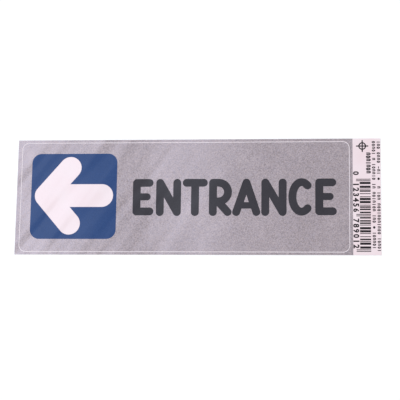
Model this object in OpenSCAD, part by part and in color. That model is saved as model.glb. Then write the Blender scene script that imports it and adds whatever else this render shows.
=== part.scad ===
// Self-adhesive entrance sign, as it comes off the press: a white film with its adhesive,
// kiss cut into a round-cornered label and the waste frame around it, on a sheet of release paper.
// Millimetres. The sheet lies on its back: X is the reading direction, Y is the sign's up and
// +Z is the printed face. The origin is the middle of the sheet's underside.

/* [Label] */
// Length of the kiss-cut outline
label_w = 150; // [120:1:200]
// Height of the kiss-cut outline
label_h = 50.5; // [48:0.5:70]
// Radius of the outline's corners
label_r = 3; // [1:0.5:8]
// Width of the cut, once the film has drawn back from the knife's path
cut_gap = 0.3; // [0.1:0.05:0.6]

/* [Sheet] */
// Printed border above the label, and below it
border_y = 1.35; // [0.8:0.05:5]
// Printed border at the label's left end
border_left = 1.9; // [0.8:0.1:6]
// Printed border between the label and the tail
border_right = 1.5; // [0.8:0.1:6]
// Length of the unprinted tail at the sheet's right end
tail_w = 12.5; // [5:0.1:30]

/* [Layers] */
// Thickness of the release paper
paper_t = 0.14; // [0.08:0.01:0.25]
// Thickness of the white film with its adhesive
film_t = 0.12; // [0.08:0.01:0.25]
// Thickness of each coat of ink
ink_t = 0.02; // [0.01:0.005:0.05]

/* [Panel] */
// Side of the blue panel
panel_side = 39.6; // [39:0.1:42]
// Radius of the panel's corners
panel_r = 4.3; // [1:0.1:8]
// Silver left between the label's left end and the panel
panel_left = 4.8; // [2:0.1:20]
// Height of the panel's middle above the label's middle
panel_rise = 0.35; // [-2:0.05:2]

/* [Arrow] */
// Width of the shaft
shaft_stroke = 10.6; // [8:0.1:11]
// Width of the head's two strokes
head_stroke = 10.2; // [8:0.1:10.6]
// Angle between the shaft and each stroke of the head
head_angle = 49.3; // [42:0.1:50]
// Length of a head stroke, between the centres of its round ends
head_length = 17.1; // [12:0.1:17.2]
// Length of the shaft, from the centre of the tip's round to that of its own end
shaft_length = 25.9; // [16:0.1:26.2]
// Blue left between the panel's side and the arrow's tip
tip_gap = 1.7; // [0.5:0.1:1.8]
// Height of the shaft's middle above the panel's
arrow_rise = 0.25; // [-0.5:0.05:0.5]

/* [Hidden] */
$fn = 96;

WHITE = [0.97, 0.91, 0.94];
PAPER = [0.95, 0.93, 0.94];
SILVER = [0.68, 0.64, 0.68];
BLUE = [0.25, 0.35, 0.54];

printed_w = border_left + label_w + border_right;
sheet_w = printed_w + tail_w;
sheet_h = label_h + 2 * border_y;

label_left = border_left - sheet_w / 2;
label_x = label_left + label_w / 2;
panel_x = label_left + panel_left + panel_side / 2;
tip_x = panel_x - panel_side / 2 + tip_gap + head_stroke / 2;

film_z = paper_t;
silver_z = film_z + film_t;
blue_z = silver_z + ink_t;

// A rectangle with round corners, about its own middle
module round_rectangle(width, height, radius) {
    square([width - 2 * radius, height], center = true);
    square([width, height - 2 * radius], center = true);
    for (side = [-1, 1])
        for (end = [-1, 1])
            translate([side * (width / 2 - radius), end * (height / 2 - radius)])
                circle(r = radius);
}

// The outline that the knife cuts, moved out by a distance, or in by a negative one
module cut_outline(out) {
    translate([label_x, 0])
        round_rectangle(label_w + 2 * out, label_h + 2 * out, label_r + out);
}

// One stroke of the arrow: a bar that runs from the origin along +X and ends round
module stroke(length, width) {
    translate([0, -width / 2])
        square([length, width]);
    translate([length, 0])
        circle(d = width);
}

// The arrow that points left: a shaft and the two strokes of its head, from the tip's round
module arrow_outline() {
    translate([tip_x, panel_rise + arrow_rise]) {
        circle(d = head_stroke);
        stroke(shaft_length, shaft_stroke);
        for (side = [-1, 1])
            rotate(side * head_angle)
                stroke(head_length, head_stroke);
    }
}

// The printed part of the sheet: all of it but the tail
module printed_area() {
    translate([-sheet_w / 2, -sheet_h / 2])
        square([printed_w, sheet_h]);
}

// The siliconed paper that carries the film, whole behind the cut
module release_paper() {
    color(PAPER)
        translate([-sheet_w / 2, -sheet_h / 2, 0])
            cube([sheet_w, sheet_h, paper_t]);
}

// The label itself, which peels off and goes on the door
module label_film() {
    color(WHITE)
        translate([0, 0, film_z])
            linear_extrude(film_t)
                cut_outline(-cut_gap / 2);
}

// What stays on the paper: the border around the label, in one piece with the tail
module waste_frame() {
    color(WHITE)
        translate([0, 0, film_z])
            linear_extrude(film_t)
                difference() {
                    square([sheet_w, sheet_h], center = true);
                    cut_outline(cut_gap / 2);
                }
}

// The silver coat on the label, left open where the white film shows as the arrow
module silver_ground() {
    color(SILVER)
        translate([0, 0, silver_z])
            linear_extrude(ink_t)
                difference() {
                    cut_outline(-cut_gap / 2);
                    arrow_outline();
                }
}

// The same coat where it bleeds past the cut, as far as the tail
module silver_bleed() {
    color(SILVER)
        translate([0, 0, silver_z])
            linear_extrude(ink_t)
                difference() {
                    printed_area();
                    cut_outline(cut_gap / 2);
                }
}

// The blue panel, printed over the silver with the same opening
module arrow_panel() {
    color(BLUE)
        translate([0, 0, blue_z])
            linear_extrude(ink_t)
                difference() {
                    translate([panel_x, panel_rise])
                        round_rectangle(panel_side, panel_side, panel_r);
                    arrow_outline();
                }
}

release_paper();
label_film();
waste_frame();
silver_ground();
silver_bleed();
arrow_panel();
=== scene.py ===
"""Looks of a self-adhesive entrance sign that lies on its back, still on its release paper.

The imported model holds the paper, the film, the silver coats and the arrow's panel. This script
gives them their finishes, prints the word on the label and the small print on the tail, and sets
up the floor, the lamps and the camera.

Every new piece is modelled in millimetres from the label's lower left corner, and is then set down
in metres in the model's own frame.
"""

import logging
import math
from collections.abc import Callable, Hashable, Iterable
from dataclasses import dataclass, field
from enum import Enum
from functools import cached_property

import bmesh
import bpy
from mathutils import Matrix, Vector


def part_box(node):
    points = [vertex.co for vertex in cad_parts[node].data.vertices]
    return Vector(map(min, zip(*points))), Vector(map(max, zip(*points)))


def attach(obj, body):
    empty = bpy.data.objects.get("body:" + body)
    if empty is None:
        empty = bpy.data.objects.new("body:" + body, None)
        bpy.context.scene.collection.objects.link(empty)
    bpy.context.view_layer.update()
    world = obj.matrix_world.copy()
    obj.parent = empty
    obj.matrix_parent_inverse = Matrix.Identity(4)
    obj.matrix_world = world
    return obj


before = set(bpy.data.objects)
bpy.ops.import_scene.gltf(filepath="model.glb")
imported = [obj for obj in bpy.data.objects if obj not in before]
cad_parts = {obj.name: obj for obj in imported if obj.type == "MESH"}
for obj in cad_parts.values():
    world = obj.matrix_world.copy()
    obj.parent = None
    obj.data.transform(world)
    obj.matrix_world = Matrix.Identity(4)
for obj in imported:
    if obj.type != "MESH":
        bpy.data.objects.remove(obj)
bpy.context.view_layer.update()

Piece = bpy.types.Object
Socket = bpy.types.NodeSocket
Point = tuple[float, float]
Place = tuple[float, float, float]
Colour = tuple[float, float, float]

MM = 0.001
ROOT = "root"
WHITE = (1.0, 1.0, 1.0, 1.0)
# The range that a share goes over
SHARE = (0.0, 1.0)
# Corners this near to each other, in millimetres, are one
SAME_PLACE = 0.001
# A corner this near to a line, as a share of the radius, lies on it
ON_LINE = 0.001

log = logging.getLogger("entrance_sign")


class Node(str, Enum):
    """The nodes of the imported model."""

    PAPER = "release_paper"
    LABEL = "label_film"
    FRAME = "waste_frame"
    GROUND = "silver_ground"
    BLEED = "silver_bleed"
    PANEL = "arrow_panel"


class Slot(str, Enum):
    """A material slot of the record. Nothing in this script uses it."""

    DARK = "dark_ink"


def srgb(red: int, green: int, blue: int) -> Colour:
    """Turns an 8-bit screen colour into the linear one that shaders take.

    Args:
        red: Red, from 0 to 255.
        green: Green, from 0 to 255.
        blue: Blue, from 0 to 255.

    Returns:
        The same colour, linear, from 0 to 1.
    """

    def linear(value: float) -> float:
        """One channel, by the sRGB curve."""
        return value / 12.92 if value <= 0.04045 else ((value + 0.055) / 1.055) ** 2.4

    return (linear(red / 255), linear(green / 255), linear(blue / 255))


# Modelling


@dataclass(frozen=True)
class Sheet:
    """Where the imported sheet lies, in millimetres.

    Attributes:
        left: X of the label's cut, at its left end.
        bottom: Y of the label's cut, along its lower side.
        film_top: Height of the bare film's face.
        silver_top: Height of the silver coat's face.
        print_top: Height of the face of what is printed over the silver.
    """

    left: float
    bottom: float
    film_top: float
    silver_top: float
    print_top: float

    @classmethod
    def measured(cls) -> "Sheet":
        """Reads the sheet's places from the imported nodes.

        Returns:
            The places.
        """
        film_low, film_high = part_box(Node.LABEL.value)
        return cls(
            left=film_low.x / MM,
            bottom=film_low.y / MM,
            film_top=film_high.z / MM,
            silver_top=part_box(Node.GROUND.value)[1].z / MM,
            print_top=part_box(Node.PANEL.value)[1].z / MM,
        )


def start_piece() -> None:
    """Leaves nothing selected, so that an operator reaches only what is added next."""
    bpy.ops.object.select_all(action="DESELECT")


def pick(piece: Piece) -> None:
    """Selects a piece alone and makes it the active one.

    Args:
        piece: The piece.
    """
    start_piece()
    piece.select_set(True)
    bpy.context.view_layer.objects.active = piece


def edit(piece: Piece) -> None:
    """Opens a piece alone in edit mode, with nothing selected in it.

    Args:
        piece: The piece.
    """
    pick(piece)
    bpy.ops.object.mode_set(mode="EDIT")
    bpy.ops.mesh.select_all(action="DESELECT")


def leave_edit() -> None:
    """Goes back to object mode."""
    bpy.ops.object.mode_set(mode="OBJECT")


def select_mesh() -> None:
    """Selects all of the piece in edit mode."""
    bpy.ops.mesh.select_all(action="SELECT")


def select_where(test: Callable[[Vector], bool]) -> None:
    """Selects some vertices of the piece in edit mode.

    Args:
        test: Says of a vertex's place whether the vertex is selected.
    """
    mesh = bpy.context.object.data
    grid = bmesh.from_edit_mesh(mesh)
    bpy.ops.mesh.select_mode(type="VERT")
    for vertex in grid.verts:
        vertex.select_set(test(vertex.co))
    grid.select_flush(True)
    bmesh.update_edit_mesh(mesh)


def fit(size: Point, place: Point) -> None:
    """Scales all of the piece in edit mode about the origin, and then moves it.

    Args:
        size: Its scale along X and along Y.
        place: Where the origin goes.
    """
    select_mesh()
    bpy.ops.transform.resize(value=(*size, 1), center_override=(0, 0, 0))
    bpy.ops.transform.translate(value=(*place, 0))


def close_outwards() -> None:
    """Turns the faces of the piece in edit mode outwards, and goes back to object mode."""
    select_mesh()
    bpy.ops.mesh.normals_make_consistent(inside=False)
    leave_edit()


def apply_place(piece: Piece) -> None:
    """Moves a piece's place, turn and scale into its mesh."""
    pick(piece)
    bpy.ops.object.transform_apply(location=True, rotation=True, scale=True)


def apply_modifier(piece: Piece, name: str) -> None:
    """Applies one modifier of a piece."""
    pick(piece)
    bpy.ops.object.modifier_apply(modifier=name)


def clean(piece: Piece) -> None:
    """Merges corners that share a place, and takes out faces with no width.

    Args:
        piece: The piece.
    """
    edit(piece)
    select_mesh()
    bpy.ops.mesh.remove_doubles(threshold=SAME_PLACE)
    select_mesh()
    bpy.ops.mesh.dissolve_degenerate(threshold=SAME_PLACE)
    leave_edit()


def copied(
    places: Iterable[tuple[Hashable, float, float]], make: Callable[[Hashable], Piece]
) -> list[Piece]:
    """Models each shape once and copies it to every place where it stands.

    Args:
        places: For each copy, which shape it is, and how far it is moved along X and along Y.
        make: Models a shape, given which one it is.

    Returns:
        The copies in their order, each with its own mesh.
    """
    made: dict[Hashable, Piece] = {}
    copies = []
    for kind, x, y in places:
        if kind not in made:
            made[kind] = make(kind)
        copy = made[kind].copy()
        copy.data = made[kind].data.copy()
        bpy.context.scene.collection.objects.link(copy)
        copy.location = (x, y, 0)
        apply_place(copy)
        copies.append(copy)
    for first in made.values():
        bpy.data.objects.remove(first, do_unlink=True)
    return copies


@dataclass(frozen=True)
class Press:
    """Prints shapes: each is a low solid, in millimetres, with its underside at nought.

    Attributes:
        depth: Height of the solids while they are cut and joined.
        sides: Sides of a full round.
    """

    depth: float = 1.0
    sides: int = 64

    def extrude(self) -> None:
        """Draws all of the flat piece in edit mode up to the solids' height."""
        select_mesh()
        bpy.ops.mesh.extrude_region_move(TRANSFORM_OT_translate={"value": (0, 0, self.depth)})

    def bar(self, start: Point, end: Point, width: float) -> Piece:
        """Adds a bar with round ends: a round, drawn out along its length.

        Args:
            start: Centre of one round end.
            end: Centre of the other round end.
            width: Width of the bar.

        Returns:
            The bar.
        """
        start_piece()
        half_step = math.pi / self.sides
        bpy.ops.mesh.primitive_cylinder_add(
            vertices=self.sides,
            radius=width / 2 / math.cos(half_step),
            depth=self.depth,
            location=(0, 0, self.depth / 2),
            rotation=(0, 0, half_step),
        )
        piece = bpy.context.object
        apply_place(piece)
        edit(piece)
        select_where(lambda place: place.x > 0)
        bpy.ops.transform.translate(value=(math.dist(start, end), 0, 0))
        leave_edit()
        piece.rotation_euler.z = math.atan2(end[1] - start[1], end[0] - start[0])
        piece.location = (*start, 0)
        apply_place(piece)
        return piece

    def disc(self, centre: Point, width: float) -> Piece:
        """Adds a round.

        Args:
            centre: Its centre.
            width: Its width.

        Returns:
            The round.
        """
        start_piece()
        bpy.ops.mesh.primitive_cylinder_add(
            vertices=self.sides,
            radius=width / 2,
            depth=self.depth,
            location=(*centre, self.depth / 2),
        )
        piece = bpy.context.object
        apply_place(piece)
        return piece

    def band(self, path: Piece, width: float) -> Piece:
        """Gives a flat line of edges its height and an even width.

        Args:
            path: The line, in edit mode.
            width: Width of the band.

        Returns:
            The band.
        """
        self.extrude()
        leave_edit()
        wall = path.modifiers.new("width", "SOLIDIFY")
        wall.thickness = width
        wall.offset = 0
        wall.use_even_offset = True
        apply_modifier(path, wall.name)
        return path

    def bow(self, centre: Point, radius: float, reach: float, width: float) -> Piece:
        """Adds a bow that opens to the left: half a circle with two straight arms.

        Args:
            centre: Centre of the half circle.
            radius: Radius of the half circle, to the middle of the band.
            reach: Length of the arms.
            width: Width of the band.

        Returns:
            The bow.
        """
        start_piece()
        bpy.ops.mesh.primitive_circle_add(
            vertices=self.sides, radius=radius, location=(*centre, 0)
        )
        piece = bpy.context.object
        apply_place(piece)
        edit(piece)
        near = radius * ON_LINE
        select_where(lambda place: place.x < centre[0] - near)
        bpy.ops.mesh.delete(type="VERT")
        select_where(lambda place: place.x < centre[0] + near)
        bpy.ops.mesh.extrude_region_move(TRANSFORM_OT_translate={"value": (-reach, 0, 0)})
        return self.band(piece, width)

    def crescent(self, centre: Point, half: Point, gap_steps: int, width: float) -> Piece:
        """Adds an oval band that is open on the right, with round ends.

        Args:
            centre: Centre of the oval.
            half: Half the oval's width and half its height, to the middle of the band.
            gap_steps: Steps of the round, above the middle and below it, that the gap takes.
            width: Width of the band.

        Returns:
            The band.
        """
        start_piece()
        bpy.ops.mesh.primitive_circle_add(vertices=self.sides, radius=1, location=(0, 0, 0))
        piece = bpy.context.object
        edit(piece)
        turn = 2 * math.pi * gap_steps / self.sides
        select_where(lambda place: place.x > math.cos(turn) + ON_LINE)
        bpy.ops.mesh.delete(type="VERT")
        fit(half, centre)
        oval = self.band(piece, width)
        end_x = centre[0] + half[0] * math.cos(turn)
        rise = half[1] * math.sin(turn)
        ends = [self.disc((end_x, centre[1] + side * rise), width) for side in (-1, 1)]
        return self.united([oval, *ends])

    def ring(self, centre: Point, half: Point, width: float) -> Piece:
        """Adds an oval ring.

        Args:
            centre: Centre of the ring.
            half: Half its outer width and half its outer height.
            width: Width of its band.

        Returns:
            The ring.
        """
        start_piece()
        bpy.ops.mesh.primitive_circle_add(
            vertices=self.sides, radius=1, fill_type="NGON", location=(0, 0, 0)
        )
        piece = bpy.context.object
        edit(piece)
        fit(half, centre)
        bpy.ops.mesh.inset(thickness=width)
        bpy.ops.mesh.delete(type="FACE")
        self.extrude()
        close_outwards()
        return piece

    def block(self, low: Point, high: Point) -> Piece:
        """Adds a plain oblong with square corners.

        Args:
            low: Its lower left corner.
            high: Its upper right corner.

        Returns:
            The oblong.
        """
        start_piece()
        bpy.ops.mesh.primitive_plane_add(size=1, location=(0.5, 0.5, 0))
        piece = bpy.context.object
        apply_place(piece)
        edit(piece)
        fit((high[0] - low[0], high[1] - low[1]), low)
        self.extrude()
        close_outwards()
        return piece

    def united(self, pieces: list[Piece]) -> Piece:
        """Joins solids that overlap into one clean solid.

        Args:
            pieces: The solids, which are used up.

        Returns:
            The one solid.
        """
        whole, *others = pieces
        for other in others:
            union = whole.modifiers.new("union", "BOOLEAN")
            union.operation = "UNION"
            union.solver = "MANIFOLD"
            union.object = other
            apply_modifier(whole, union.name)
            bpy.data.objects.remove(other, do_unlink=True)
        clean(whole)
        return whole

    def gathered(self, pieces: list[Piece]) -> Piece:
        """Puts solids that stand apart into one piece.

        Args:
            pieces: The solids, which are used up.

        Returns:
            The one piece.
        """
        pick(pieces[0])
        for piece in pieces:
            piece.select_set(True)
        if len(pieces) > 1:
            bpy.ops.object.join()
        return pieces[0]

    def laid(self, piece: Piece, name: str, sheet: Sheet, base: float, top: float) -> Piece:
        """Sets a finished shape down on the sheet as a coat of ink.

        Args:
            piece: The shape, in millimetres from the label's corner.
            name: The piece's name.
            sheet: Where the sheet lies.
            base: Height of the face that the ink is on, in millimetres.
            top: Height of the ink's face, in millimetres.

        Returns:
            The coat of ink, in metres, riding on the sheet.
        """
        piece.name = name
        piece.data.name = name
        piece.scale = (MM, MM, (top - base) / self.depth * MM)
        piece.location = (sheet.left * MM, sheet.bottom * MM, base * MM)
        apply_place(piece)
        piece.data.polygons.foreach_set("use_smooth", [False] * len(piece.data.polygons))
        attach(piece, ROOT)
        return piece


# Letters


@dataclass(frozen=True)
class Letter:
    """A capital drawn with one even pen, in millimetres from its own lower left corner.

    Attributes:
        name: Which capital it is.
        width: Width of the letter.
        height: Height of the capitals.
        pen: Width of the strokes.
        sink: How far round feet reach below the line, so that they look level with flat ones.
    """

    name: str
    width: float
    height: float = 16.8
    pen: float = 3.6
    sink: float = 0.3

    @property
    def left(self) -> float:
        """X of the left stroke's middle."""
        return self.pen / 2

    @property
    def right(self) -> float:
        """X of the right stroke's middle."""
        return self.width - self.pen / 2

    @property
    def top(self) -> float:
        """Y of the top stroke's middle."""
        return self.height - self.pen / 2

    @property
    def foot(self) -> float:
        """Y of a round foot's middle."""
        return self.pen / 2 - self.sink

    def stem(self, press: Press, x: float) -> Piece:
        """Adds an upright stroke that ends in a round foot."""
        return press.bar((x, self.foot), (x, self.top), self.pen)

    def strokes(self, press: Press) -> list[Piece]:
        """Adds the letter's strokes."""
        raise NotImplementedError

    def drawn(self, press: Press) -> Piece:
        """Adds the letter as one solid."""
        return press.united(self.strokes(press))


@dataclass(frozen=True)
class LetterE(Letter):
    """E: a stem with three arms, the middle one shorter and finer.

    Attributes:
        top_back: How far the top arm falls short of the lowest.
        middle_y: Height of the middle arm.
        middle_back: How far the middle arm falls short of the lowest.
        middle_pen: Width of the middle arm.
    """

    name: str = "E"
    width: float = 9.6
    top_back: float = 0.2
    middle_y: float = 8.55
    middle_back: float = 1.2
    middle_pen: float = 3.25

    def strokes(self, press: Press) -> list[Piece]:
        """Adds the stem and the arms.

        Args:
            press: What makes the shapes.

        Returns:
            The strokes.
        """
        low = self.pen / 2
        middle_end = (self.right - self.middle_back, self.middle_y)
        return [
            press.bar((self.left, low), (self.left, self.top), self.pen),
            press.bar((self.left, self.top), (self.right - self.top_back, self.top), self.pen),
            press.bar((self.left, self.middle_y), middle_end, self.middle_pen),
            press.bar((self.left, low), (self.right, low), self.pen),
        ]


@dataclass(frozen=True)
class LetterN(Letter):
    """N: two stems and the slope between them."""

    name: str = "N"
    width: float = 11.4

    def strokes(self, press: Press) -> list[Piece]:
        """Adds the stems and the slope."""
        slope = press.bar((self.left, self.top), (self.right, self.foot), self.pen)
        return [self.stem(press, self.left), self.stem(press, self.right), slope]


@dataclass(frozen=True)
class LetterT(Letter):
    """T: a bar on a stem."""

    name: str = "T"
    width: float = 11.4

    def strokes(self, press: Press) -> list[Piece]:
        """Adds the bar and the stem."""
        bar = press.bar((self.left, self.top), (self.right, self.top), self.pen)
        return [bar, self.stem(press, self.width / 2)]


@dataclass(frozen=True)
class LetterR(Letter):
    """R: a stem, a bow and a leg.

    Attributes:
        waist: Height of the bow's lower arm.
        leg_start: How far to the left of the bow's centre the leg starts.
        leg_back: How far the leg's foot stays inside the letter's width.
    """

    name: str = "R"
    width: float = 10.4
    waist: float = 6.4
    leg_start: float = 0.2
    leg_back: float = 0.1

    def strokes(self, press: Press) -> list[Piece]:
        """Adds the stem, the bow and the leg.

        Args:
            press: What makes the shapes.

        Returns:
            The strokes.
        """
        radius = (self.top - self.waist) / 2
        centre = (self.right - radius, self.waist + radius)
        hip = (centre[0] - self.leg_start, self.waist)
        return [
            self.stem(press, self.left),
            press.bow(centre, radius, centre[0] - self.left, self.pen),
            press.bar(hip, (self.right - self.leg_back, self.foot), self.pen),
        ]


@dataclass(frozen=True)
class LetterA(Letter):
    """A: two slopes and a bar between them.

    Attributes:
        bar_y: Height of the bar.
        bar_pen: Width of the bar.
    """

    name: str = "A"
    width: float = 12.7
    bar_y: float = 4.55
    bar_pen: float = 2.95

    def strokes(self, press: Press) -> list[Piece]:
        """Adds the slopes and the bar.

        Args:
            press: What makes the shapes.

        Returns:
            The strokes.
        """
        apex = (self.width / 2, self.top)
        inset = (self.bar_y - self.foot) / (self.top - self.foot) * (apex[0] - self.left)
        bar_ends = ((self.left + inset, self.bar_y), (self.right - inset, self.bar_y))
        return [
            press.bar((self.left, self.foot), apex, self.pen),
            press.bar((self.right, self.foot), apex, self.pen),
            press.bar(*bar_ends, self.bar_pen),
        ]


@dataclass(frozen=True)
class LetterC(Letter):
    """C: an open oval.

    Attributes:
        gap_steps: Steps of the round that the opening takes, above the middle and below it.
        bulge: How much wider half the oval is than half the letter.
    """

    name: str = "C"
    width: float = 11.3
    gap_steps: int = 9
    bulge: float = 0.3

    def strokes(self, press: Press) -> list[Piece]:
        """Adds the oval, which reaches a little past the line at both ends.

        Args:
            press: What makes the shapes.

        Returns:
            The oval.
        """
        half_width = (self.width - self.pen) / 2 + self.bulge
        half_height = (self.height - self.pen) / 2 + self.sink / 2
        centre = (self.pen / 2 + half_width, self.height / 2)
        return [press.crescent(centre, (half_width, half_height), self.gap_steps, self.pen)]


@dataclass
class PrintedWord:
    """The word beside the arrow, set letter by letter.

    Attributes:
        start: X of the first letter's left side, in millimetres from the label's left end.
        baseline: Y of the line that the letters stand on.
        letters: The letters, in reading order.
        gaps: Space after each letter but the last.
    """

    start: float = 51.74
    baseline: float = 16.5
    letters: tuple[Letter, ...] = (
        LetterE(), LetterN(), LetterT(), LetterR(), LetterA(), LetterN(), LetterC(), LetterE(),
    )
    gaps: tuple[float, ...] = (1.1, 0.7, 0.65, 0.2, 0.4, 0.8, 0.75)

    def build(self, press: Press, sheet: Sheet) -> list[Piece]:
        """Prints the letters over the silver.

        Args:
            press: What makes the shapes.
            sheet: Where the sheet lies.

        Returns:
            The letters.
        """
        places = []
        x = self.start
        for letter, gap in zip(self.letters, (*self.gaps, 0.0)):
            places.append((letter, x, self.baseline))
            x += letter.width + gap
        pieces = copied(places, lambda letter: letter.drawn(press))
        names = [f"letter_{place}_{letter.name}" for place, letter in enumerate(self.letters, 1)]
        return [
            press.laid(piece, name, sheet, sheet.silver_top, sheet.print_top)
            for piece, name in zip(pieces, names)
        ]


# Tail


@dataclass
class TailPiece:
    """Something that is printed on the tail's bare film.

    Attributes:
        name: The piece's name.
    """

    name: str

    def shapes(self, press: Press) -> list[Piece]:
        """Adds the solids that it consists of."""
        raise NotImplementedError

    def build(self, press: Press, sheet: Sheet) -> Piece:
        """Prints it as one piece.

        Args:
            press: What makes the shapes.
            sheet: Where the sheet lies.

        Returns:
            The piece.
        """
        whole = press.gathered(self.shapes(press))
        return press.laid(whole, self.name, sheet, sheet.film_top, sheet.silver_top)


@dataclass
class BarRow(TailPiece):
    """Two runs of bars in a made-up rhythm, which say nothing, between groups of longer bars.

    A rhythm is the widths of a gap, a bar, a gap and so on, in modules.

    Attributes:
        top: Y of the first bar's upper side.
        length: Length of the row.
        left: X of the plain bars' left ends.
        right: X of all the bars' right ends.
        longer_left: X of the longer bars' left ends.
        rhythm: The rhythm of the upper run, which the lower run has backwards.
        end_rhythm: The rhythm of the longer bars at both ends, without its first gap.
        middle_rhythm: The rhythm of the longer bars in the middle.
    """

    name: str = "tail_bars"
    top: float = 33.1
    length: float = 33.1
    left: float = 154.42
    right: float = 159.27
    longer_left: float = 152.85
    rhythm: str = "132311122131131321121222"
    end_rhythm: str = "111"
    middle_rhythm: str = "11111"

    def spans(self) -> list[tuple[float, int, int]]:
        """Works out where the bars are.

        Returns:
            For each bar its left end, its start and its width, both in modules.
        """
        bars = []
        at = 0
        for widths, left, first in (
            (self.end_rhythm, self.longer_left, 0),
            (self.rhythm, self.left, 1),
            (self.middle_rhythm, self.longer_left, 1),
            (self.rhythm[::-1], self.left, 0),
            (self.end_rhythm, self.longer_left, 0),
        ):
            for place, width in enumerate(map(int, widths)):
                if place % 2 == first:
                    bars.append((left, at, width))
                at += width
        return bars

    def shapes(self, press: Press) -> list[Piece]:
        """Adds the bars.

        Args:
            press: What makes the shapes.

        Returns:
            The bars.
        """
        spans = self.spans()
        module = self.length / (spans[-1][1] + spans[-1][2])
        places = [((left, wide), 0.0, self.top - at * module) for left, at, wide in spans]
        return copied(
            places, lambda kind: press.block((kind[0], -kind[1] * module), (self.right, 0.0))
        )


@dataclass
class DigitColumn(TailPiece):
    """Plain counting digits beside the bars, turned to be read from the top down.

    Attributes:
        middle_x: X of the column's middle.
        tall: Height of a digit.
        weight: How far the strokes are thickened, as a share of the type's size.
        curve_steps: Steps that each bend of a digit is made in.
        step: Distance from one digit to the next.
        groups: For each group, its digits and the Y of its first one.
    """

    name: str = "tail_digits"
    middle_x: float = 152.63
    tall: float = 2.66
    weight: float = 0.04
    curve_steps: int = 3
    step: float = 2.35
    groups: tuple[tuple[str, float], ...] = (("0", 35.7), ("123456", 30.55), ("789012", 14.15))

    def digit(self, press: Press, mark: str) -> Piece:
        """Adds one digit, with its middle at nought along Y.

        Args:
            press: What makes the shapes.
            mark: The digit.

        Returns:
            The digit.
        """
        start_piece()
        bpy.ops.object.text_add(location=(0, 0, 0))
        text = bpy.context.object
        text.data.body = mark
        text.data.align_x = "CENTER"
        text.data.align_y = "CENTER"
        text.data.resolution_u = self.curve_steps
        text.data.offset = self.weight
        text.data.extrude = press.depth / 2
        pick(text)
        bpy.ops.object.convert(target="MESH")
        piece = bpy.context.object
        scale = self.tall / piece.dimensions.y
        piece.scale = (scale, scale, press.depth / piece.dimensions.z)
        piece.rotation_euler.z = -math.pi / 2
        apply_place(piece)
        lowest = min(vertex.co.z for vertex in piece.data.vertices)
        piece.location = (self.middle_x, 0, -lowest)
        apply_place(piece)
        clean(piece)
        return piece

    def shapes(self, press: Press) -> list[Piece]:
        """Adds the digits.

        Args:
            press: What makes the shapes.

        Returns:
            The digits.
        """
        places = [
            (mark, 0.0, first - self.step * place)
            for marks, first in self.groups
            for place, mark in enumerate(marks)
        ]
        return copied(places, lambda mark: self.digit(press, mark))


class Glyph(Enum):
    """The unreadable marks that stand for small print."""

    RING = "o"
    POST = "l"
    ARCH = "n"
    DASH = "-"
    DOT = "."


@dataclass
class FinePrint(TailPiece):
    """A line of marks too small to read, which runs down the tail.

    Attributes:
        left: X of the marks' feet.
        right: X of the marks' heads.
        step: Distance from one mark to the next.
        marks: The marks, one letter of Glyph for each, with a space between words.
        top: Y of the line's start.
        pen: Width of the marks' strokes.
        share: How much of the step a mark takes.
        dash: Length of a dash, as a share of a mark's width.
        dot: Width of a dot, in widths of the pen.
    """

    left: float
    right: float
    step: float
    marks: str
    top: float = 50.65
    pen: float = 0.37
    share: float = 0.74
    dash: float = 0.7
    dot: float = 3.0

    def mark(self, press: Press, glyph: Glyph) -> Piece:
        """Adds one mark, with its middle at nought along Y.

        Args:
            press: What makes the shapes.
            glyph: Which mark it is.

        Returns:
            The mark.
        """
        half = self.step * self.share / 2
        low = self.left + self.pen / 2
        high = self.right - self.pen / 2
        middle = (self.left + self.right) / 2
        if glyph is Glyph.RING:
            reach = (self.right - self.left) / 2
            return press.ring((middle, 0), (reach, half), self.pen)
        if glyph is Glyph.POST:
            return press.bar((low, 0), (high, 0), self.pen)
        if glyph is Glyph.ARCH:
            inner = half - self.pen / 2
            return press.bow((high - inner, 0), inner, high - inner - low, self.pen)
        if glyph is Glyph.DASH:
            reach = half * self.dash
            return press.bar((middle, -reach), (middle, reach), self.pen)
        return press.disc((middle, 0), self.dot * self.pen)

    def shapes(self, press: Press) -> list[Piece]:
        """Adds the marks.

        Args:
            press: What makes the shapes.

        Returns:
            The marks.
        """
        places = [
            (Glyph(letter), 0.0, self.top - self.step * (place + 0.5))
            for place, letter in enumerate(self.marks)
            if letter != " "
        ]
        return copied(places, lambda glyph: self.mark(press, glyph))


@dataclass
class RegisterMark(TailPiece):
    """A printer's register mark: a ring with a cross through it.

    Attributes:
        centre: The mark's centre.
        radius: Outer radius of the ring.
        arm: Half the length of the cross.
        pen: Width of the lines.
    """

    name: str = "tail_register_mark"
    centre: Point = (155.7, 48.2)
    radius: float = 1.75
    arm: float = 2.5
    pen: float = 0.55

    def shapes(self, press: Press) -> list[Piece]:
        """Adds the ring and the cross as one solid.

        Args:
            press: What makes the shapes.

        Returns:
            The mark.
        """
        x, y = self.centre
        across = press.bar((x - self.arm, y), (x + self.arm, y), self.pen)
        upright = press.bar((x, y - self.arm), (x, y + self.arm), self.pen)
        ring = press.ring(self.centre, (self.radius, self.radius), self.pen)
        return [press.united([ring, across, upright])]


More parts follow.
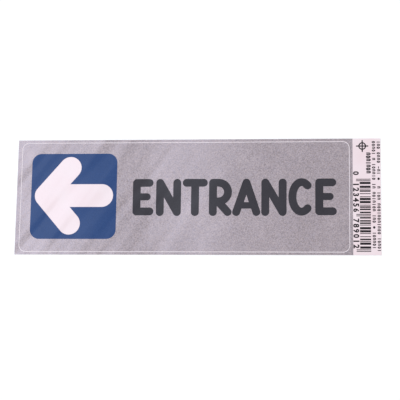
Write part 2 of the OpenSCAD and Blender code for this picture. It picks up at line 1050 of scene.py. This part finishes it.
@dataclass
class TailPrint:
    """All that is printed on the white tail.

    Attributes:
        pieces: The larger print.
        lines: The small print.
        line_sides: Sides of a full round in the small print.
    """

    pieces: tuple[TailPiece, ...] = field(
        default_factory=lambda: (BarRow(), DigitColumn(), RegisterMark())
    )
    lines: tuple[FinePrint, ...] = (
        FinePrint(
            "tail_small_line", 157.25, 159.45, 1.4, "nonlnon", top=45.3, pen=0.5, share=0.86
        ),
        FinePrint("tail_fine_line_1", 159.93, 161.5, 1.3, "oonol n lonnlo ln nolnlon lno . lonnol"),
        FinePrint("tail_fine_line_2", 162.1, 163.65, 1.3, "lno onno -nl .  n lon noolnonlnoo lonol"),
    )
    line_sides: int = 16

    def build(self, press: Press, sheet: Sheet) -> list[Piece]:
        """Prints the tail.

        Args:
            press: What makes the shapes.
            sheet: Where the sheet lies.

        Returns:
            The pieces.
        """
        fine = Press(depth=press.depth, sides=self.line_sides)
        large = [piece.build(press, sheet) for piece in self.pieces]
        return large + [line.build(fine, sheet) for line in self.lines]


# Finishes


@dataclass(frozen=True)
class Noise:
    """The settings of a noise texture.

    Attributes:
        scale: Its scale.
        detail: How many finer layers it has.
        roughness: How much each layer counts against the one before it.
    """

    scale: float
    detail: float
    roughness: float = 0.5


@dataclass(frozen=True)
class Wiring:
    """Adds nodes to one node tree and links them.

    Attributes:
        tree: The node tree.
    """

    tree: bpy.types.NodeTree

    def add(self, kind: str, **settings: object) -> bpy.types.Node:
        """Adds a node.

        Args:
            kind: The node's type.
            settings: Properties of the node.

        Returns:
            The node.
        """
        node = self.tree.nodes.new(kind)
        for name, value in settings.items():
            setattr(node, name, value)
        return node

    def link(self, source: Socket, target: Socket) -> None:
        """Links one socket to another."""
        self.tree.links.new(source, target)

    def place(self) -> Socket:
        """Adds the place on the object that wears the material."""
        return self.add("ShaderNodeTexCoord").outputs["Object"]

    def noise(self, vector: Socket, noise: Noise) -> Socket:
        """Adds a noise texture.

        Args:
            vector: The place that it is read at.
            noise: Its settings.

        Returns:
            Its value.
        """
        node = self.add("ShaderNodeTexNoise")
        node.inputs["Scale"].default_value = noise.scale
        node.inputs["Detail"].default_value = noise.detail
        node.inputs["Roughness"].default_value = noise.roughness
        self.link(vector, node.inputs["Vector"])
        return node.outputs["Fac"]

    def mapped(self, value: Socket, source: Point, target: Point) -> Socket:
        """Maps one range of values to another.

        Args:
            value: The value to map.
            source: The range that it comes in.
            target: The range that it leaves in.

        Returns:
            The mapped value.
        """
        node = self.add("ShaderNodeMapRange")
        ends = ("From Min", "From Max", "To Min", "To Max")
        for end, number in zip(ends, (*source, *target)):
            node.inputs[end].default_value = number
        self.link(value, node.inputs["Value"])
        return node.outputs["Result"]

    def math(self, operation: str, first: Socket, second: Socket | float | None = None) -> Socket:
        """Works out one step of arithmetic.

        Args:
            operation: What is done.
            first: The first value.
            second: The second value, where the step takes one.

        Returns:
            The result.
        """
        node = self.add("ShaderNodeMath", operation=operation)
        self.link(first, node.inputs[0])
        if isinstance(second, Socket):
            self.link(second, node.inputs[1])
        elif second is not None:
            node.inputs[1].default_value = second
        return node.outputs[0]

    def mixed(self, share: Socket, low: Socket | Colour, high: Colour) -> Socket:
        """Mixes two colours.

        Args:
            share: The second colour's share.
            low: The first colour.
            high: The second colour.

        Returns:
            The mixed colour.
        """
        node = self.add("ShaderNodeMix", data_type="RGBA")
        self.link(share, node.inputs["Factor"])
        if isinstance(low, Socket):
            self.link(low, node.inputs["A"])
        else:
            node.inputs["A"].default_value = (*low, 1)
        node.inputs["B"].default_value = (*high, 1)
        return node.outputs["Result"]

    def seen_directly(self) -> Socket:
        """Tells apart the rays that look at a surface from those that light it.

        Returns:
            1 for rays from the camera, from gloss and through glass, and 0 for others.
        """
        path = self.add("ShaderNodeLightPath")
        seen = path.outputs["Is Camera Ray"]
        for ray in ("Is Glossy Ray", "Is Transmission Ray"):
            seen = self.math("MAXIMUM", seen, path.outputs[ray])
        return seen


@dataclass(frozen=True)
class MetalGrain:
    """The grain of a metallic ink.

    Attributes:
        blotch: The fine blotches.
        flake_scale: Scale of the single flakes.
        cloud: The broad clouds.
        spread: The range of a noise that is drawn out to go from 0 to 1.
    """

    blotch: Noise = Noise(2600.0, 2.0, 0.6)
    flake_scale: float = 3200.0
    cloud: Noise = Noise(45.0, 3.0, 0.6)
    spread: Point = (0.3, 0.7)


@dataclass(frozen=True)
class FilmLay:
    """How the film lies on its paper: swells that run slantwise, one long roll and a fine peel.

    Attributes:
        slant: Direction that the swells run in, in degrees from the sheet's length.
        stretch: Length of a swell, in widths.
        swell: The swells' noise.
        swell_height: Height of the swells, in metres.
        strong_x: X where the swells have all their height.
        weak_x: X where they have the least.
        weak: That least, as a share.
        wave: Length of the roll's wave, in metres.
        steep_x: X where the roll falls most steeply to the right.
        roll_height: Height of the roll, in metres.
        roll_x: X where the roll has all its height.
        roll_reach: How far from there it has died down.
        roll_rest: What is left of it there, as a share.
        peel: The peel's noise.
        peel_height: Height of the peel, in metres.
    """

    slant: float = 52.0
    stretch: float = 6.0
    swell: Noise = Noise(95.0, 1.5)
    swell_height: float = 0.0014
    strong_x: float = -0.085
    weak_x: float = 0.02
    weak: float = 0.12
    wave: float = 0.086
    steep_x: float = -0.038
    roll_height: float = 0.0008
    roll_x: float = -0.022
    roll_reach: float = 0.058
    roll_rest: float = 0.12
    peel: Noise = Noise(900.0, 2.0)
    peel_height: float = 0.000006

    def swells(self, wiring: Wiring, place: Socket, along: Socket) -> Socket:
        """Adds the swells, which are strongest at the left end.

        Args:
            wiring: What adds the nodes.
            place: The place on the sheet.
            along: Its X.

        Returns:
            The swells, from 0 to 1.
        """
        slant = wiring.add("ShaderNodeMapping", vector_type="TEXTURE")
        slant.inputs["Rotation"].default_value = (0, 0, math.radians(self.slant))
        slant.inputs["Scale"].default_value = (self.stretch, 1, 1)
        wiring.link(place, slant.inputs["Vector"])
        fade = wiring.mapped(along, (self.strong_x, self.weak_x), (1.0, self.weak))
        return wiring.math("MULTIPLY", wiring.noise(slant.outputs["Vector"], self.swell), fade)

    def roll(self, wiring: Wiring, along: Socket) -> Socket:
        """Adds the long roll, which is highest beside the panel.

        Args:
            wiring: What adds the nodes.
            along: X on the sheet.

        Returns:
            The roll, from -1 to 1.
        """
        turns = 2 * math.pi / self.wave
        turned = wiring.math("MULTIPLY", along, turns)
        wave = wiring.math("SINE", wiring.math("ADD", turned, math.pi - turns * self.steep_x))
        off = wiring.math("ABSOLUTE", wiring.math("SUBTRACT", along, self.roll_x))
        share = wiring.mapped(off, (0.0, self.roll_reach), (1.0, self.roll_rest))
        return wiring.math("MULTIPLY", wave, share)


class Effects:
    """Shader node groups that more than one finish uses, each made once."""

    def group(
        self, name: str, inputs: dict[str, float], outputs: Iterable[str]
    ) -> tuple[Wiring, bpy.types.Node, bpy.types.Node]:
        """Starts a group with its sockets.

        Args:
            name: The group's name.
            inputs: Its inputs and their usual values.
            outputs: Its outputs.

        Returns:
            What adds nodes to the group, the node that gives its inputs and the one that takes
            its outputs.
        """
        tree = bpy.data.node_groups.new(name, "ShaderNodeTree")
        for socket, value in inputs.items():
            item = tree.interface.new_socket(
                socket, in_out="INPUT", socket_type="NodeSocketFloat"
            )
            item.default_value = value
        for socket in outputs:
            tree.interface.new_socket(socket, in_out="OUTPUT", socket_type="NodeSocketFloat")
        wiring = Wiring(tree)
        return wiring, wiring.add("NodeGroupInput"), wiring.add("NodeGroupOutput")

    @cached_property
    def grain(self) -> bpy.types.NodeTree:
        """Makes the grain of a metallic ink: blotches, single flakes, their tint and clouds.

        Returns:
            The group.
        """
        metal = MetalGrain()
        wiring, entry, leave = self.group(
            "ink_grain",
            {"Blotch Scale": metal.blotch.scale, "Flake Scale": metal.flake_scale},
            ("Blotch", "Flake", "Tint", "Cloud"),
        )
        place = wiring.place()
        blotch = wiring.noise(place, metal.blotch)
        wiring.link(entry.outputs["Blotch Scale"], blotch.node.inputs["Scale"])
        flake = wiring.add("ShaderNodeTexVoronoi", feature="F1")
        wiring.link(place, flake.inputs["Vector"])
        wiring.link(entry.outputs["Flake Scale"], flake.inputs["Scale"])
        shade = wiring.add("ShaderNodeSeparateColor")
        wiring.link(flake.outputs["Color"], shade.inputs["Color"])
        cloud = wiring.noise(place, metal.cloud)
        wiring.link(wiring.mapped(blotch, metal.spread, SHARE), leave.inputs["Blotch"])
        wiring.link(shade.outputs["Red"], leave.inputs["Flake"])
        wiring.link(shade.outputs["Green"], leave.inputs["Tint"])
        wiring.link(wiring.mapped(cloud, metal.spread, SHARE), leave.inputs["Cloud"])
        return wiring.tree

    @cached_property
    def lay(self) -> bpy.types.NodeTree:
        """Makes the height of a film's face, in metres: its swells, its roll and its peel.

        Returns:
            The group.
        """
        film = FilmLay()
        wiring, entry, leave = self.group(
            "film_lay",
            {"Swell": film.swell_height, "Roll": film.roll_height, "Peel": film.peel_height},
            ("Height",),
        )
        place = wiring.place()
        split = wiring.add("ShaderNodeSeparateXYZ")
        wiring.link(place, split.inputs["Vector"])
        along = split.outputs["X"]
        swells, roll, peel = (
            wiring.math("MULTIPLY", part, entry.outputs[height])
            for part, height in (
                (film.swells(wiring, place, along), "Swell"),
                (film.roll(wiring, along), "Roll"),
                (wiring.noise(place, film.peel), "Peel"),
            )
        )
        both = wiring.math("ADD", swells, roll)
        wiring.link(wiring.math("ADD", both, peel), leave.inputs["Height"])
        return wiring.tree


@dataclass(frozen=True)
class Finish:
    """What every finish has.

    Attributes:
        name: The material's name.
    """

    name: str

    def make(self, effects: Effects) -> bpy.types.Material:
        """Makes the material."""
        raise NotImplementedError

    def blank(self) -> tuple[bpy.types.Material, Wiring, bpy.types.Node]:
        """Starts a material.

        Returns:
            The material, what adds nodes to it, and its shader.
        """
        material = bpy.data.materials.new(self.name)
        material.use_nodes = True
        tree = material.node_tree
        return material, Wiring(tree), tree.nodes["Principled BSDF"]

    def raised(self, wiring: Wiring, shader: bpy.types.Node, height: Socket) -> None:
        """Lets a height in metres raise the surface.

        Args:
            wiring: What adds the nodes.
            shader: The shader whose surface it is.
            height: The height.
        """
        bump = wiring.add("ShaderNodeBump")
        bump.inputs["Strength"].default_value = 1.0
        bump.inputs["Distance"].default_value = 1.0
        wiring.link(height, bump.inputs["Height"])
        wiring.link(bump.outputs["Normal"], shader.inputs["Normal"])

    def lay(self, wiring: Wiring, shader: bpy.types.Node, effects: Effects, peel: float) -> None:
        """Lets the film's lay raise the surface.

        Args:
            wiring: What adds the nodes.
            shader: The shader whose surface it is.
            effects: What holds the film's lay.
            peel: Height of the peel, in metres.
        """
        lay = wiring.add("ShaderNodeGroup", node_tree=effects.lay)
        lay.inputs["Peel"].default_value = peel
        self.raised(wiring, shader, lay.outputs["Height"])


@dataclass(frozen=True)
class Ink(Finish):
    """A screen ink whose colour wanders with the metallic grain in it or under it.

    Attributes:
        dark: Colour of the grain's dark side.
        light: Colour of the grain's light side.
        blotch: Share of the colour's wandering that blotches give.
        flake: Share that single flakes give.
        cloud: Share that broad clouds give.
        metallic: How metallic the ink is.
        specular: Strength of its mirror light.
        roughness: Roughness of the smoothest grains and of the roughest.
        peel: Height of the fine peel on its face, in metres.
    """

    dark: Colour
    light: Colour
    blotch: float = 0.4
    flake: float = 0.25
    cloud: float = 0.35
    metallic: float = 0.0
    specular: float = 0.2
    roughness: Point = (0.28, 0.36)
    peel: float = 0.000006

    def colour(self, wiring: Wiring, grain: bpy.types.Node) -> Socket:
        """Adds the ink's colour.

        Args:
            wiring: What adds the nodes.
            grain: The grain.

        Returns:
            The colour.
        """
        share = wiring.math("MULTIPLY", grain.outputs["Blotch"], self.blotch)
        for output, weight in (("Flake", self.flake), ("Cloud", self.cloud)):
            part = wiring.math("MULTIPLY", grain.outputs[output], weight)
            share = wiring.math("ADD", share, part)
        return wiring.mixed(share, self.dark, self.light)

    def make(self, effects: Effects) -> bpy.types.Material:
        """Makes the material from the grain and the film's lay.

        Args:
            effects: What holds them.

        Returns:
            The material.
        """
        material, wiring, shader = self.blank()
        grain = wiring.add("ShaderNodeGroup", node_tree=effects.grain)
        wiring.link(self.colour(wiring, grain), shader.inputs["Base Color"])
        roughness = wiring.mapped(grain.outputs["Flake"], SHARE, self.roughness)
        wiring.link(roughness, shader.inputs["Roughness"])
        shader.inputs["Metallic"].default_value = self.metallic
        shader.inputs["Specular IOR Level"].default_value = self.specular
        self.lay(wiring, shader, effects, self.peel)
        return material


@dataclass(frozen=True)
class SilverInk(Ink):
    """Silver screen ink: a clear resin full of fine metal flakes, some of them cooler in tone.

    Attributes:
        cool: Colour that the coolest flakes are mixed with.
        coolness: How much of that colour they take.
    """

    name: str = "silver_ink"
    dark: Colour = srgb(116, 105, 106)
    light: Colour = srgb(189, 174, 176)
    blotch: float = 0.25
    flake: float = 0.6
    cloud: float = 0.15
    metallic: float = 0.53
    specular: float = 0.4
    roughness: Point = (0.33, 0.49)
    cool: Colour = srgb(146, 148, 172)
    coolness: float = 0.24

    def colour(self, wiring: Wiring, grain: bpy.types.Node) -> Socket:
        """Adds the ink's colour, with its flakes tinted.

        Args:
            wiring: What adds the nodes.
            grain: The grain.

        Returns:
            The colour.
        """
        plain = super().colour(wiring, grain)
        tint = wiring.mapped(grain.outputs["Tint"], SHARE, (0.0, self.coolness))
        return wiring.mixed(tint, plain, self.cool)


@dataclass(frozen=True)
class WhiteFilm(Finish):
    """White vinyl film with a satin face.

    Attributes:
        low: Colour where the film looks a little dull.
        high: Colour where it looks clean.
        cloud: The noise between the two.
        spread: The range of the noise that is drawn out to go from 0 to 1.
        roughness: Roughness at the dull end and at the clean one.
        peel: Height of the fine peel on its face, in metres.
    """

    name: str = "white_film"
    low: Colour = srgb(252, 229, 232)
    high: Colour = srgb(255, 238, 241)
    cloud: Noise = Noise(60.0, 3.0)
    spread: Point = (0.35, 0.65)
    roughness: Point = (0.26, 0.34)
    peel: float = 0.000004

    def make(self, effects: Effects) -> bpy.types.Material:
        """Makes the material from broad clouds and the film's lay.

        Args:
            effects: What holds the lay.

        Returns:
            The material.
        """
        material, wiring, shader = self.blank()
        cloud = wiring.mapped(wiring.noise(wiring.place(), self.cloud), self.spread, SHARE)
        wiring.link(wiring.mixed(cloud, self.low, self.high), shader.inputs["Base Color"])
        wiring.link(wiring.mapped(cloud, SHARE, self.roughness), shader.inputs["Roughness"])
        self.lay(wiring, shader, effects, self.peel)
        return material


@dataclass(frozen=True)
class SiliconedPaper(Finish):
    """Release paper: white, with its fibres and a faint shine of silicone.

    Attributes:
        low: Colour between the fibres.
        high: Colour of the fibres.
        fibre: The fibres' noise.
        squeeze: Scale of the fibres along the sheet, against their scale across it.
        cloud: The noise of the broad clouds.
        spread: The range of both noises' sum that is drawn out to go from 0 to 1.
        roughness: Roughness between the fibres and on them.
        fibre_height: Height of the fibres, in metres.
    """

    name: str = "release_paper"
    low: Colour = srgb(247, 241, 244)
    high: Colour = srgb(254, 249, 251)
    fibre: Noise = Noise(700.0, 4.0, 0.6)
    squeeze: float = 0.5
    cloud: Noise = Noise(220.0, 3.0)
    spread: Point = (0.76, 1.24)
    roughness: Point = (0.62, 0.5)
    fibre_height: float = 0.000004

    def make(self, effects: Effects) -> bpy.types.Material:
        """Makes the material from drawn-out noise for the fibres and broad clouds.

        Args:
            effects: What holds the shared effects, of which it uses none.

        Returns:
            The material.
        """
        material, wiring, shader = self.blank()
        place = wiring.place()
        along = wiring.add("ShaderNodeMapping")
        along.inputs["Scale"].default_value = (self.squeeze, 1.0, 1.0)
        wiring.link(place, along.inputs["Vector"])
        fibre = wiring.noise(along.outputs["Vector"], self.fibre)
        both = wiring.math("ADD", fibre, wiring.noise(place, self.cloud))
        share = wiring.mapped(both, self.spread, SHARE)
        wiring.link(wiring.mixed(share, self.low, self.high), shader.inputs["Base Color"])
        wiring.link(wiring.mapped(share, SHARE, self.roughness), shader.inputs["Roughness"])
        self.raised(wiring, shader, wiring.math("MULTIPLY", fibre, self.fibre_height))
        return material


@dataclass(frozen=True)
class FloorWhite(Finish):
    """The floor's even white, which keeps shadows and looks white to the camera.

    Attributes:
        paint: How much light the floor gives back.
        lift: What is added for the camera, so that the open floor reaches white.
        cloud: The noise of its faint clouds.
        spread: The range of the noise that the clouds take.
        tone: The least and the most of its paint that it shows.
        roughness: Its roughness.
    """

    name: str = "floor_white"
    paint: float = 0.8
    lift: float = 0.33
    cloud: Noise = Noise(3.0, 2.0)
    spread: Point = (0.3, 0.7)
    tone: Point = (0.98, 1.0)
    roughness: float = 0.9

    def make(self, effects: Effects) -> bpy.types.Material:
        """Makes the material: paint, with light added only where something looks at it.

        Args:
            effects: What holds the shared effects, of which it uses none.

        Returns:
            The material.
        """
        material, wiring, shader = self.blank()
        cloud = wiring.mapped(wiring.noise(wiring.place(), self.cloud), self.spread, self.tone)
        wiring.link(wiring.math("MULTIPLY", cloud, self.paint), shader.inputs["Base Color"])
        shader.inputs["Roughness"].default_value = self.roughness
        shader.inputs["Specular IOR Level"].default_value = 0.0
        shader.inputs["Emission Color"].default_value = WHITE
        glow = wiring.math("MULTIPLY", wiring.seen_directly(), self.lift)
        wiring.link(glow, shader.inputs["Emission Strength"])
        return material


@dataclass
class Wardrobe:
    """Every finish of the sign, made once, and what wears it.

    Attributes:
        effects: What holds the effects that the finishes share.
        silver: The ink of the ground and its bleed.
        blue: The panel's ink.
        dark: The word's ink.
        black: The ink of the tail's print.
        film: The label and the waste frame.
        paper: The release paper.
    """

    effects: Effects = field(default_factory=Effects)
    silver: Finish = SilverInk()
    blue: Finish = Ink("blue_ink", srgb(28, 61, 113), srgb(51, 82, 136))
    dark: Finish = Ink("dark_ink", srgb(44, 42, 48), srgb(62, 59, 66))
    black: Finish = Ink("tail_ink", srgb(24, 18, 23), srgb(38, 30, 36))
    film: Finish = WhiteFilm()
    paper: Finish = SiliconedPaper()

    def dress_nodes(self) -> None:
        """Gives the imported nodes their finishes."""
        silver = self.silver.make(self.effects)
        film = self.film.make(self.effects)
        worn = {
            Node.PAPER: self.paper.make(self.effects),
            Node.LABEL: film,
            Node.FRAME: film,
            Node.GROUND: silver,
            Node.BLEED: silver,
            Node.PANEL: self.blue.make(self.effects),
        }
        for node, material in worn.items():
            self.dress(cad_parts[node.value], material)

    def dress_print(self, word: list[Piece], tail: list[Piece]) -> None:
        """Gives the print its inks.

        Args:
            word: The letters on the label.
            tail: The print on the tail.
        """
        for pieces, finish in ((word, self.dark), (tail, self.black)):
            ink = finish.make(self.effects)
            for piece in pieces:
                self.dress(piece, ink)

    def dress(self, piece: Piece, material: bpy.types.Material) -> None:
        """Gives a piece one material and reports it.

        Args:
            piece: The piece.
            material: The material.
        """
        piece.data.materials.clear()
        piece.data.materials.append(material)
        log.info("%s in %s, %d faces", piece.name, material.name, len(piece.data.polygons))


# Studio


@dataclass(frozen=True)
class Lamp:
    """A soft box.

    Attributes:
        name: The lamp's name.
        place: Where it hangs, in metres.
        size: Its width and height, in metres.
        power: Its power, in watts.
        tone: Its colour.
    """

    name: str
    place: Place
    size: Point
    power: float
    tone: Colour

    def hang(self) -> None:
        """Hangs the lamp, turned to the sheet's middle."""
        data = bpy.data.lights.new(self.name, "AREA")
        data.shape = "RECTANGLE"
        data.size, data.size_y = self.size
        data.energy = self.power
        data.color = self.tone
        lamp = bpy.data.objects.new(self.name, data)
        bpy.context.scene.collection.objects.link(lamp)
        lamp.location = self.place
        lamp.rotation_euler = (-Vector(self.place)).to_track_quat("-Z", "Y").to_euler()


@dataclass(frozen=True)
class Studio:
    """The floor, the room's even light and the soft boxes.

    Attributes:
        floor_half: Half the floor's side, in metres.
        floor_drop: How far the floor lies under the sheet, so that no two faces share a place.
        room: Strength of the room's light on surfaces.
        lamps: The soft boxes.
    """

    floor_half: float = 3.0
    floor_drop: float = 0.00005
    room: float = 0.6
    lamps: tuple[Lamp, ...] = (
        Lamp("key_box", (-0.62, 0.28, 1.2), (0.8, 0.9), 8.0, (0.77, 0.86, 1.0)),
        Lamp("fill_box", (0.8, -0.5, 1.1), (0.7, 0.7), 0.9, (1.0, 0.92, 0.86)),
    )

    def build(self, effects: Effects) -> None:
        """Lays the floor, lights the room and hangs the lamps.

        Args:
            effects: What holds the shared effects.
        """
        self.lay_floor(effects)
        self.light_room()
        for lamp in self.lamps:
            lamp.hang()

    def lay_floor(self, effects: Effects) -> None:
        """Lays the floor.

        Args:
            effects: What holds the shared effects.
        """
        start_piece()
        bpy.ops.mesh.primitive_plane_add(
            size=2 * self.floor_half, location=(0, 0, -self.floor_drop)
        )
        floor = bpy.context.object
        floor.name = "studio_floor"
        floor.data.materials.append(FloorWhite().make(effects))

    def light_room(self) -> None:
        """Gives the world its light, and plain white where the camera or gloss looks."""
        world = bpy.data.worlds.new("room")
        world.use_nodes = True
        bpy.context.scene.world = world
        wiring = Wiring(world.node_tree)
        background = world.node_tree.nodes["Background"]
        background.inputs["Color"].default_value = WHITE
        strength = wiring.mapped(wiring.seen_directly(), SHARE, (self.room, 1.0))
        wiring.link(strength, background.inputs["Strength"])


@dataclass(frozen=True)
class PhotoCamera:
    """The camera, where the photograph's own view puts it.

    Attributes:
        aim: The point of the sheet in the middle of the frame, in metres.
        leaning: The direction from that point to the camera.
        distance: How far off the camera is, in metres.
        lens: Its focal length, in millimetres.
        frame_width: Width of the frame that the lens is for, in millimetres.
        roll: Turn about the line of sight, in degrees.
        nearest: Distance from which on it sees things, in metres.
    """

    aim: Place = (0.00162, -0.00156, 0.00028)
    leaning: Place = (0.0898, -0.1804, 0.9795)
    distance: float = 0.5666
    lens: float = 112.5
    frame_width: float = 36.0
    roll: float = 0.854
    nearest: float = 0.01

    def place(self) -> None:
        """Sets the camera up and makes it the scene's own."""
        data = bpy.data.cameras.new("photo_camera")
        data.lens = self.lens
        data.sensor_width = self.frame_width
        data.clip_start = self.nearest
        camera = bpy.data.objects.new("photo_camera", data)
        bpy.context.scene.collection.objects.link(camera)
        back = Vector(self.leaning).normalized()
        right = Vector((0, 1, 0)).cross(back).normalized()
        sight = Matrix((right, back.cross(right), back)).transposed().to_4x4()
        turn = Matrix.Rotation(math.radians(self.roll), 4, "Z")
        spot = Matrix.Translation(Vector(self.aim) + back * self.distance)
        camera.matrix_world = spot @ sight @ turn
        bpy.context.scene.camera = camera


def main() -> None:
    """Builds the sign's print, dresses it and sets up the studio."""
    logging.basicConfig(level=logging.INFO, format="%(message)s")
    bpy.context.scene.view_settings.view_transform = "Standard"
    PhotoCamera().place()
    sheet = Sheet.measured()
    press = Press()
    word = PrintedWord().build(press, sheet)
    tail = TailPrint().build(press, sheet)
    wardrobe = Wardrobe()
    wardrobe.dress_nodes()
    wardrobe.dress_print(word, tail)
    Studio().build(wardrobe.effects)


if __name__ == "__main__":
    main()
